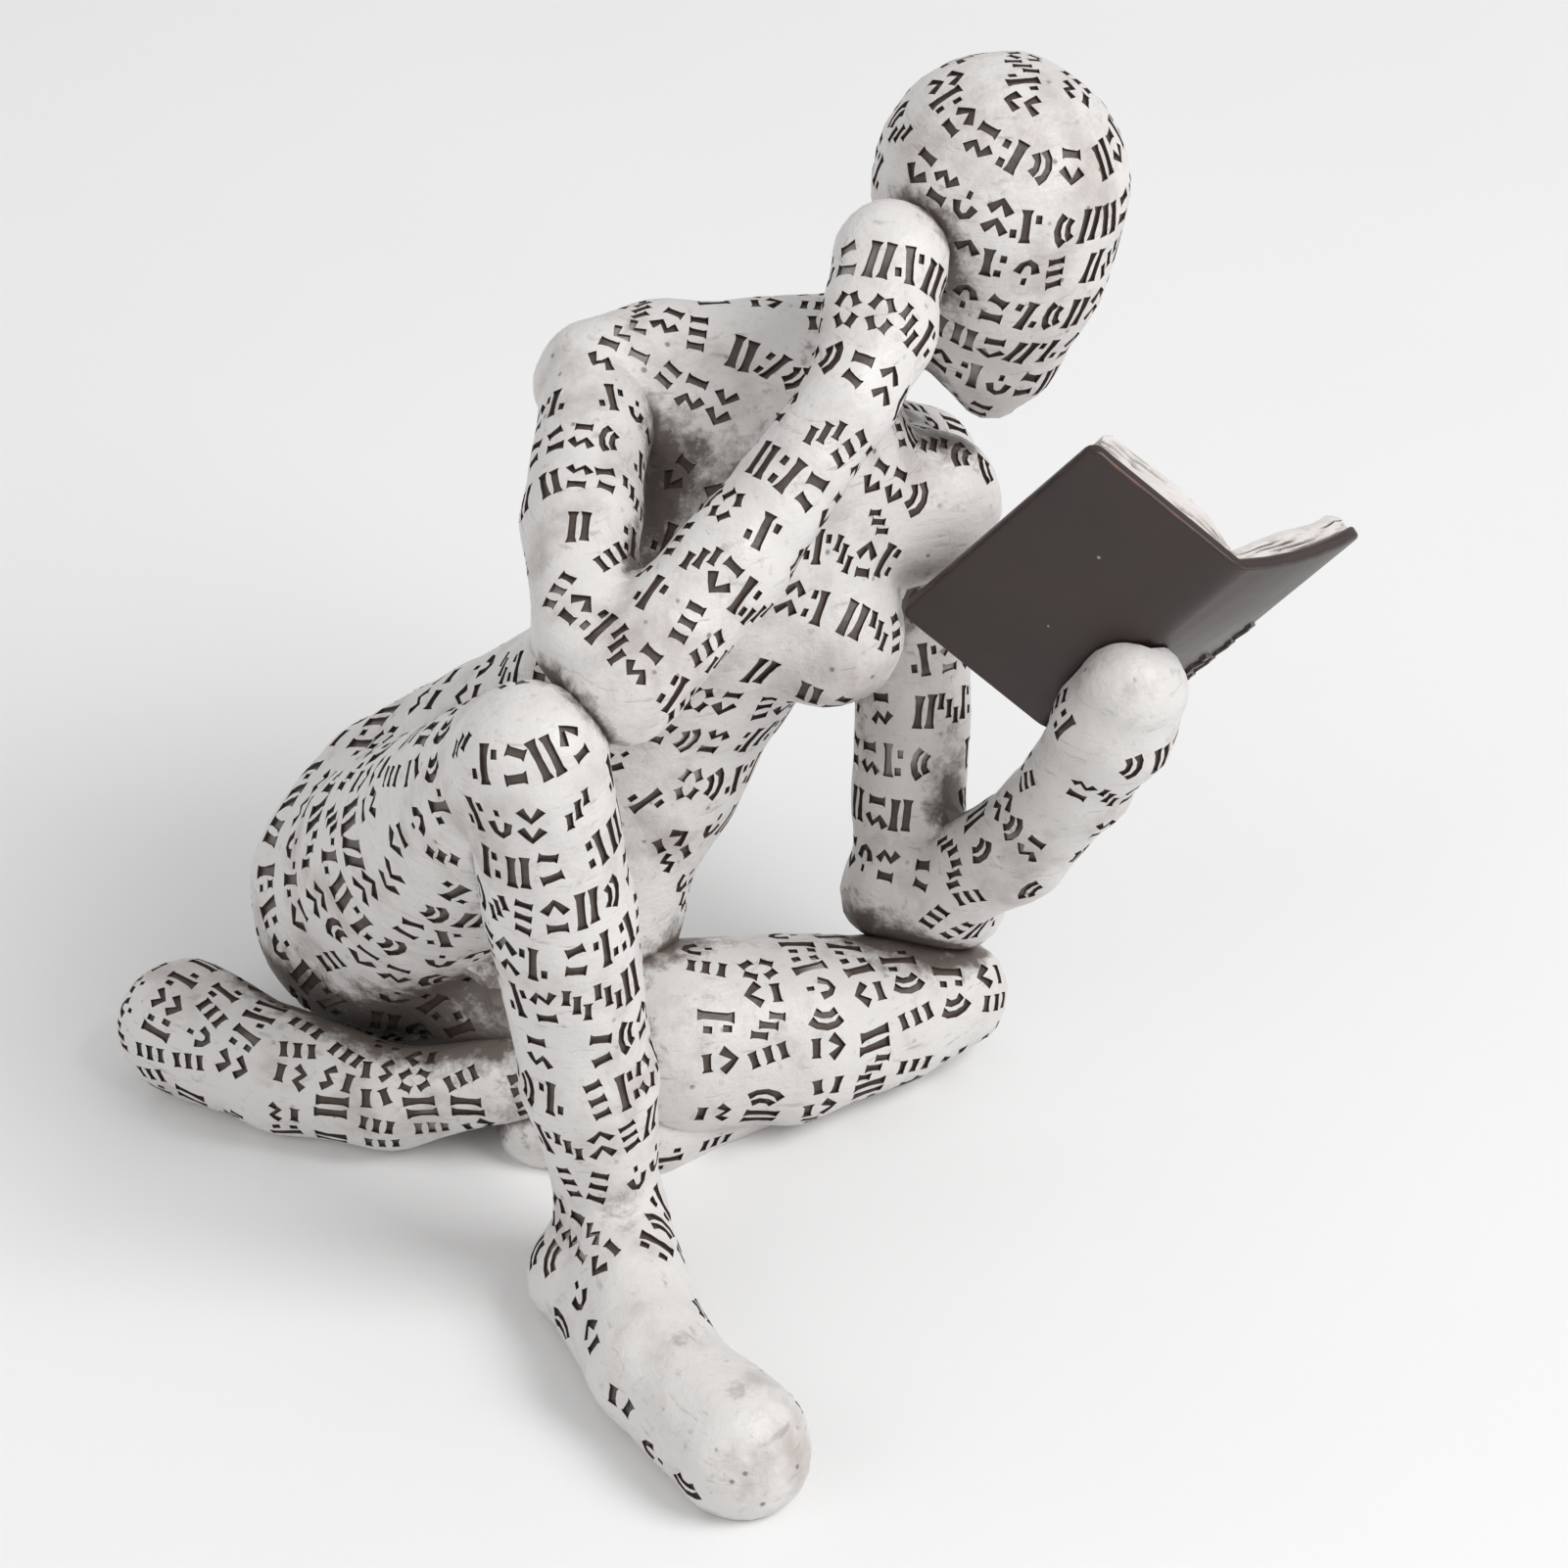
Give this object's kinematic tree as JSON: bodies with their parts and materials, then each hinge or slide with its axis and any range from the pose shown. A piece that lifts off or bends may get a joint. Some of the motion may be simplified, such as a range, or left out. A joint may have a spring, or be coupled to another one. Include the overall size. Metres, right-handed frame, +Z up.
{
  "type": "seated reading woman figurine",
  "caption": "Small cast figurine of a seated woman with a smooth egg head, one knee raised, who leans on that knee and reads an open book held in the other hand.",
  "frame": {"origin": "middle of the bounding box on the ground that the figurine stands on", "axes": "+Z up, -Y towards the side that the raised shin and the book face, +X towards the figure's left hand and the book"},
  "size_m": [0.163, 0.1254, 0.1448],
  "materials": {
    "resin": "satin off-white resin with dark wash in stamped marks",
    "lacquer": "dark brown satin paint, worn copper-red at the edges"
  },
  "bodies": {
    "root": {"figure": "resin", "book": "lacquer"}
  },
  "joints": []
}
